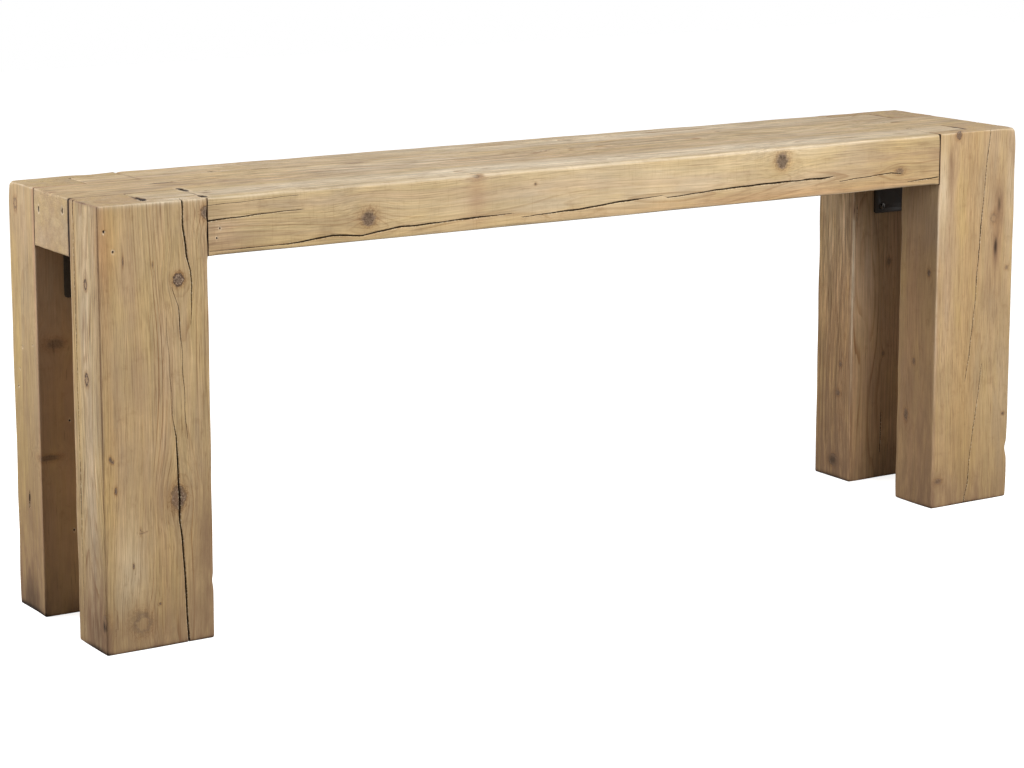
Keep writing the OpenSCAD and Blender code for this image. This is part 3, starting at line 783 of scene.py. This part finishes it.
leg_front_right = timber(
    "leg_front_right", grain=2, pith=(1908, 60), seed=8, step=(3.5, 3.5, 3.4), ring=3.6, lean=(-4, 3),
    cuts=[((1790, 36, 660), (1900, 120, 770))],
    checks=[
        ("front", [(248, 1881, 0), (255, 1881, 0.5), (302, 1889, 0.9), (413, 1903, 0.8), (476, 1905, 1.1),
                   (571, 1913, 1.2), (636, 1918, 0.8), (713, 1926, 0.9), (760, 1932, 1.1)], 7),
        ("front", [(0, 1882, 1.1), (37, 1894, 0.9), (109, 1900, 0.7), (188, 1912, 0.9), (283, 1924, 0.5),
                   (290, 1925, 0)], 7),
        ("right", [(260, 50, 0), (270, 50, 0.9), (480, 58, 1.8), (760, 54, 1.9)], 7),
    ],
    knots=[("front", 754, 1849, 4.5, 8, 1.0), ("front", 581, 1945, 8, 11, -0.5),
           ("front", 55, 1817, 5, 6, 0.9), ("front", 175, 1985, 2.5, 3.5, 0.8),
           ("front", 477, 1984, 3, 5, 0.5), ("left", 179, 84, 7, 14, 0.8), ("left", 293, 64, 5, 8, 0.7),
           ("left", 479, 25, 5, 8, 0.8), ("right", 560, 76, 13, 17, 0.95),
           ("right", 140, 30, 9, 12, 0.9)],
    worn=[((2000, 0, 101), 8, (12, 12, 12)), ((2000, 0, 760), 6, (20, 20, 20))],
    # Darker towards the bottom on the feet and on the left face, and a dark line along the top-right arris.
    darker_spots=[((1959, 0, 612), (10, 15, 34), 0.82), ((1952, 0, 523), (8, 15, 32), 0.95),
            ((1962, 0, 565), (12, 15, 60), 0.26), ((1946, 0, 450), (22, 15, 60), 0.26),
            ((1830, 0, 690), (8, 14, 60), 0.62), ((1847, 0, 753), (6, 8, 8), 0.75),
            ((1841, 0, 738), (3, 8, 12), 0.45), ((1879, 36, 760), (16, 3, 5), 0.8),
            ((1901, 60, 760), (3, 24, 5), 0.9), ((1990, 0, 710), (12, 14, 36), 0.26),
            ((1800, 0, 710), (2, 10, 70), 0.8), ((1900, 0, -12), (200, 200, 84), 0.44),
            ((1900, 0, 90), (120, 20, 110), 0.2), ((1900, 0, 0), (200, 200, 7), 0.4),
            ((1822, 0, 45), (20, 14, 24), 0.25), ((2000, 60, 760), (2.6, 70, 2.6), 0.5),
            ((1800, 57, 150), (8, 120, 280), 0.44)],
    # The warm tone on the left face, under the table, is painted shade, the pale high on it painted light,
    # and the pale line down the front-left arris a painted highlight.
    tones_and_painted_light=[((1800, 57, 380), (8, 120, 900), 0.5, 0, 0), ((1800, 57, 650), (8, 120, 110), 0, 0, 0.22),
            ((1828, 0, 600), (16, 14, 240), 0.3, 0, 0.2), ((1880, 0, 380), (34, 14, 500), 0, 0.3, 0),
            ((1988, 0, 640), (12, 14, 140), 0.1, 0, 0.3), ((1850, 0, 200), (60, 14, 200), 0, 0.2, 0),
            ((1800, 0, 340), (5, 5, 340), 0, 0, 0.25), ((1812, 0, 660), (10, 14, 100), 0, 0, 0.35),
            ((1956, 0, 560), (16, 14, 80), 0.3, 0.2, 0), ((1900, 0, 90), (120, 14, 110), 0, 0.2, 0)],
    grains=[((1800, 57, 380), (8, 120, 900), -0.2)],
)
fit(leg_front_right, old_pine("pine_leg_front_right", 5.6, (0.93, 0.9, 0.87), rings=0.3, streaks=0.65),
    "leg_front_right")

leg_rear_left = timber(
    "leg_rear_left", grain=2, pith=(58, 322), seed=15, step=(3.5, 3.5, 3.4), ring=3.3, lean=(5, -5),
    wavy=1.3,
    cuts=[((100, 255, 660), (210, 339, 770))],
    checks=[
        ("left", [(184, 319, 0), (188, 318, 1.7), (204, 316, 1.5), (214, 316, 1.0), (220, 316, 0)], 5),
        ("rear", [(0, 70, 1.6), (240, 78, 2.1), (520, 72, 1.4), (700, 76, 0)], 8),
        ("front", [(0, 92, 0.8), (160, 96, 0.9), (260, 90, 0)], 6),
        ("right", [(300, 320, 0), (320, 320, 0.9), (560, 314, 1.3), (650, 316, 0)], 6),
    ],
    knots=[("left", 723, 344, 8, 11, -0.85), ("front", 485, 34, 17, 10, 0.5),
           ("front", 285, 16, 20, 6, 0.6), ("rear", 610, 130, 13, 17, 1.0),
           ("rear", 180, 40, 16, 20, 1.0), ("right", 120, 300, 10, 13, 0.9)],
    pits=[((0, 345, 431), 1.8), ((0, 354, 398), 1.8), ((0, 328, 473), 1.8), ((0, 285, 482), 1.8),
          ((56, 261, 347), 2.0), ((59, 261, 150), 2.0)],
    worn=[((0, 375, 760), 6, (20, 20, 20)), ((0, 375, 300), 4, (12, 12, 60))],
    # Darker towards the bottom on the feet and the left face, and a dark line down the front-left arris.
    darker_spots=[((100, 320, -12), (200, 200, 84), 0.5), ((100, 320, 0), (200, 200, 7), 0.5),
            ((0, 320, 60), (12, 90, 160), 0.64), ((0, 320, 300), (12, 90, 160), 0.18),
            ((0, 261, 380), (2.4, 2.4, 700), 0.3), ((0, 349, 676), (6, 2.4, 26), 0.5),
            ((0, 317.5, 203), (6, 2.2, 11), 1.1)],
    grains=[((60, 261, 330), (160, 8, 900), -0.75)],
    # The warm tones on the front face, under the table, are painted shade, reddest under the beam; the pale
    # on it is painted light.
    tones_and_painted_light=[((100, 261, 330), (300, 8, 900), 0.72, 0, 0.15),
            ((60, 261, 590), (120, 8, 110), 0.3, 0, 0.17), ((60, 261, 690), (120, 8, 130), 0.9, 0, 0.05),
            ((0, 330, 690), (12, 34, 70), 0.25, 0, 0.15), ((0, 350, 400), (12, 18, 300), 0, 0.35, 0),
            ((0, 320, 90), (12, 90, 180), 0.15, 0.2, 0)],
)
fit(leg_rear_left, old_pine("pine_leg_rear_left", 8.4, (0.89, 0.89, 0.84), rings=0.5), "leg_rear_left")

leg_rear_right = timber(
    "leg_rear_right", grain=2, pith=(1834, 420), seed=19, step=(3.5, 3.5, 3.4), ring=3.0, lean=(-5, 4),
    wander=3,
    cuts=[((1790, 255, 660), (1900, 339, 770))],
    checks=[
        ("front", [(548, 1805.5, 0), (552, 1806, 0.9), (584, 1806, 1.0), (588, 1806, 0)], 5),
        ("front", [(50, 1883, 0), (55, 1883, 0.9), (138, 1884, 0.9), (142, 1884, 0)], 5),
        ("rear", [(180, 1902, 0), (200, 1902, 1.4), (500, 1908, 2.1), (760, 1900, 1.8)], 8),
        ("right", [(0, 318, 1.3), (250, 324, 1.8), (470, 318, 0)], 7),
    ],
    knots=[("left", 38, 315, 5, 13, 1.0), ("left", 184, 303, 2.6, 7, 0.9),
           ("left", 246, 296, 1.6, 6, 0.9), ("front", 460, 1896, 6, 9, 0.55),
           ("front", 266, 1886, 4, 6, 0.5), ("rear", 340, 1860, 15, 19, 1.0),
           ("rear", 660, 1950, 10, 13, 0.9), ("right", 590, 330, 12, 15, 0.9)],
    # Darker towards the bottom on the feet and on the left face.
    darker_spots=[((1902, 261, 142), (20, 12, 24), 0.4), ((1900, 320, -12), (200, 200, 84), 0.46),
            ((1900, 320, 0), (200, 200, 7), 0.4), ((1800, 320, 120), (8, 120, 240), 0.52),
            ((1800, 315, 38), (8, 14, 12), 0.28), ((1801, 261, 574), (3.5, 3.5, 17), 0.95),
            ((1800, 274, 584), (4, 5, 7), 0.45), ((1800, 358, 540), (4, 3.5, 16), 0.6)],
    # The warm tones on the front and left faces, under the table, are painted shade; the pale high on the
    # left face and on the front face is painted light, and the pale line down the front-left arris a
    # painted highlight.
    tones_and_painted_light=[((1900, 261, 330), (300, 8, 900), 0.65, 0, 0.05),
            ((1800, 320, 380), (8, 300, 900), 0.42, 0.32, 0.05),
            ((1800, 320, 600), (8, 60, 180), 0, 0, 0.3), ((1800, 261, 340), (5, 5, 240), 0, 0, 0.45),
            ((1850, 261, 500), (70, 8, 260), 0.1, 0, 0.26)],
    grains=[((1800, 320, 380), (8, 120, 900), 0.9), ((1900, 261, 330), (300, 8, 900), -0.4)],
)
fit(leg_rear_right, old_pine("pine_leg_rear_right", 9.9, (0.93, 0.91, 0.89), rings=1.5, streaks=1.7),
    "leg_rear_right")

# ---------------------------------------------------------------- steel angles
# Four angles of 5 mm flat steel, bent square and coated black, hold each leg to the underside of its
# beam. Their edges and corners are a little broken by the file and the coat.
def soft_edged(node, width, name):
    """A copy of a steel part with its points merged and its flat faces made whole, and a small bevel
    that breaks every edge."""
    shape = bmesh.new()
    shape.from_mesh(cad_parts[node].data)
    bmesh.ops.remove_doubles(shape, verts=shape.verts, dist=1e-6)
    bmesh.ops.dissolve_limit(shape, angle_limit=0.03, verts=shape.verts, edges=shape.edges)
    mesh = bpy.data.meshes.new(name)
    shape.to_mesh(mesh)
    shape.free()
    mesh.polygons.foreach_set("use_smooth", np.ones(len(mesh.polygons), bool))
    piece = bpy.data.objects.new(name, mesh)
    scene.collection.objects.link(piece)
    bevel = piece.modifiers.new("broken_edges", "BEVEL")
    bevel.width = width
    bevel.segments = 2
    bevel.limit_method = "ANGLE"
    bevel.angle_limit = 0.5
    bevel.harden_normals = True
    return piece


black_coat = Finish("black_coat")
place = black_coat.step("TexCoord", {}, "Object")
scuff = black_coat.cloud(place, (90, 90, 90), 2.0, 5.0, 0.65)
coat = black_coat.mix(black_coat.ease(scuff, 0.35, 0.65), (0.03, 0.023, 0.018, 1),
                      (0.052, 0.039, 0.029, 1))
rub = black_coat.cloud(place, (420, 420, 420), 5.0, 3.0)
coat = black_coat.mix(black_coat.ease(rub, 0.66, 0.74, 0, 0.6), coat, (0.16, 0.12, 0.09, 1))
black_coat.give("Base Color", coat)
black_coat.give("Roughness", black_coat.ease(scuff, 0.3, 0.7, 0.48, 0.66))
grain = black_coat.cloud(place, (900, 900, 900), 1.0, 3.0)
bump = black_coat.step("Bump", {"Strength": 0.35, "Distance": 0.0003, "Height": grain})
black_coat.give("Normal", bump)

corners = ("front_left", "front_right", "rear_left", "rear_right")
for corner in corners:
    angle = soft_edged("bracket_" + corner, 0.0007, "angle_" + corner)
    fit(angle, black_coat.owner, "bracket_" + corner)

# ---------------------------------------------------------------- screws and dowels
# Darkened zinc screws with round heads hold the angles, two into each leg and two up into each beam.
# Inside the joints, longer screws pin the tongues and plain beech dowels tie the three beams together.
zinc = Finish("dark_zinc")
place = zinc.step("TexCoord", {}, "Object")
worn_zinc = zinc.cloud(place, (600, 600, 600), 3.0, 4.0, 0.6)
zinc_tone = zinc.mix(zinc.ease(worn_zinc, 0.4, 0.66), (0.075, 0.068, 0.062, 1), (0.3, 0.28, 0.26, 1))
zinc.give("Base Color", zinc_tone)
zinc.give("Metallic", 0.85)
zinc.give("Roughness", zinc.ease(worn_zinc, 0.3, 0.7, 0.3, 0.5))

beech = Finish("beech")
place = beech.step("TexCoord", {}, "Object")
ray = beech.cloud(place, (300, 300, 1200), 1.0, 3.0)
beech_tone = beech.mix(beech.ease(ray, 0.35, 0.65), (0.62, 0.45, 0.28, 1), (0.5, 0.34, 0.2, 1))
beech.give("Base Color", beech_tone)
beech.give("Roughness", beech.ease(ray, 0.3, 0.7, 0.5, 0.65))

for corner in corners:
    for kind in ("leg_screws_", "beam_screws_", "tongue_screws_"):
        screws = soft_edged(kind + corner, 0.0002, kind + corner + "_steel")
        fit(screws, zinc.owner, kind + corner)
for row in ("dowels_front", "dowels_rear"):
    dowels = soft_edged(row, 0.0006, row + "_beech")
    fit(dowels, beech.owner, row)
